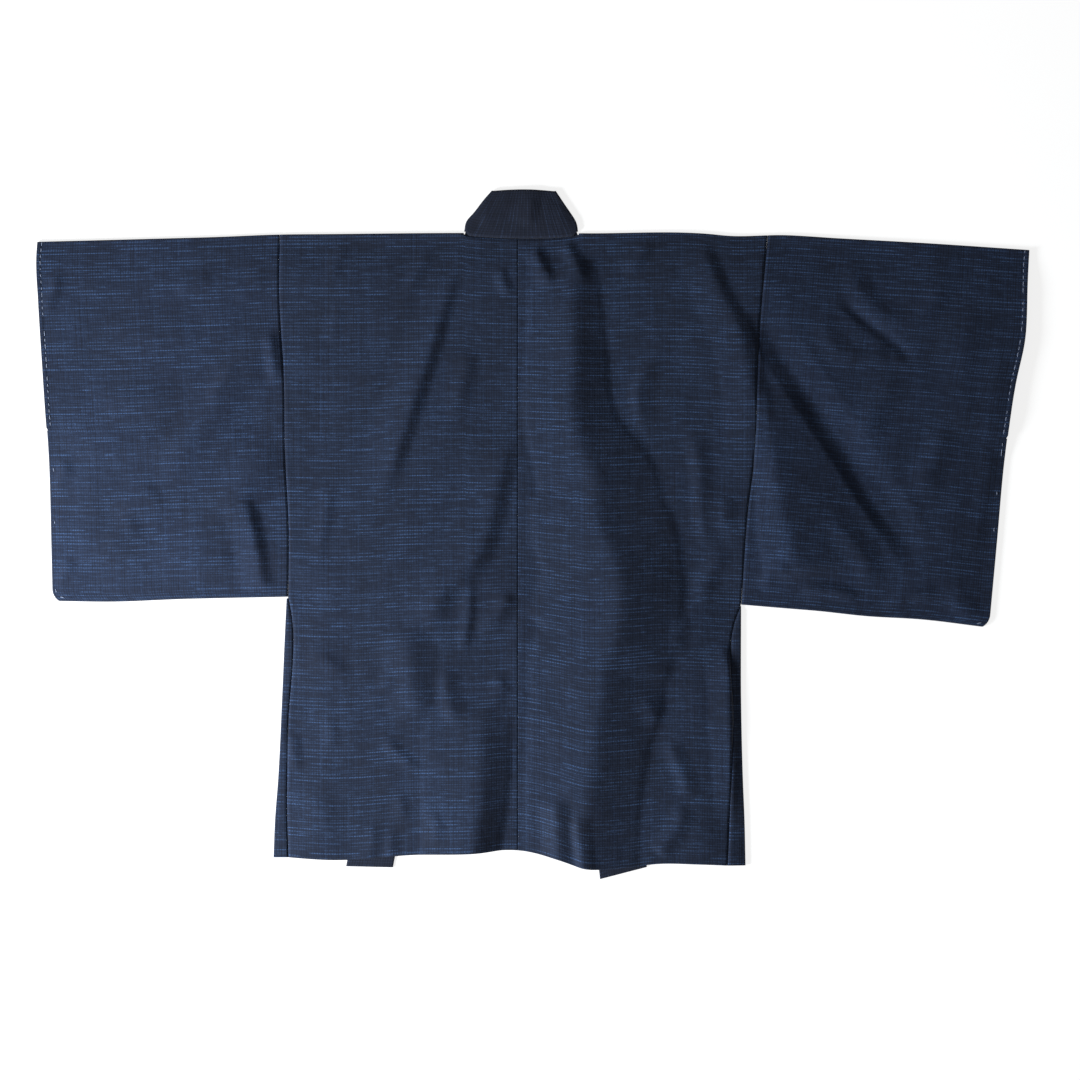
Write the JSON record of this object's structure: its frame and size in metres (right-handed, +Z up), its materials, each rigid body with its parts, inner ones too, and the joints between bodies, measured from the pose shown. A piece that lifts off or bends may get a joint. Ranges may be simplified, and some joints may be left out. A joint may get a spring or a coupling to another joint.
{
  "type": "haori jacket, laid flat with its back up",
  "caption": "Hip-length Japanese haori jacket in dark blue woven cotton, laid out flat on its front with wide square sleeves and a band collar.",
  "frame": {"origin": "under the middle of the jacket's box, on the surface that it lies on", "axes": "+X towards the wearer's right cuff, +Y towards the collar, +Z up, out of the back of the jacket"},
  "size_m": [1.3878, 0.9636, 0.0158],
  "materials": {
    "body_cloth": "matte woven cotton, dark indigo with fine pale blue weft dashes",
    "sleeve_cloth": "matte woven cotton, dark indigo with fine pale blue weft dashes",
    "collar_cloth": "matte woven cotton folded double and pressed, dark indigo"
  },
  "bodies": {
    "root": {"body_left": "body_cloth", "body_right": "body_cloth", "sleeve_left": "sleeve_cloth", "sleeve_right": "sleeve_cloth", "gusset_left": "body_cloth", "gusset_right": "body_cloth", "collar": "collar_cloth"}
  },
  "joints": []
}
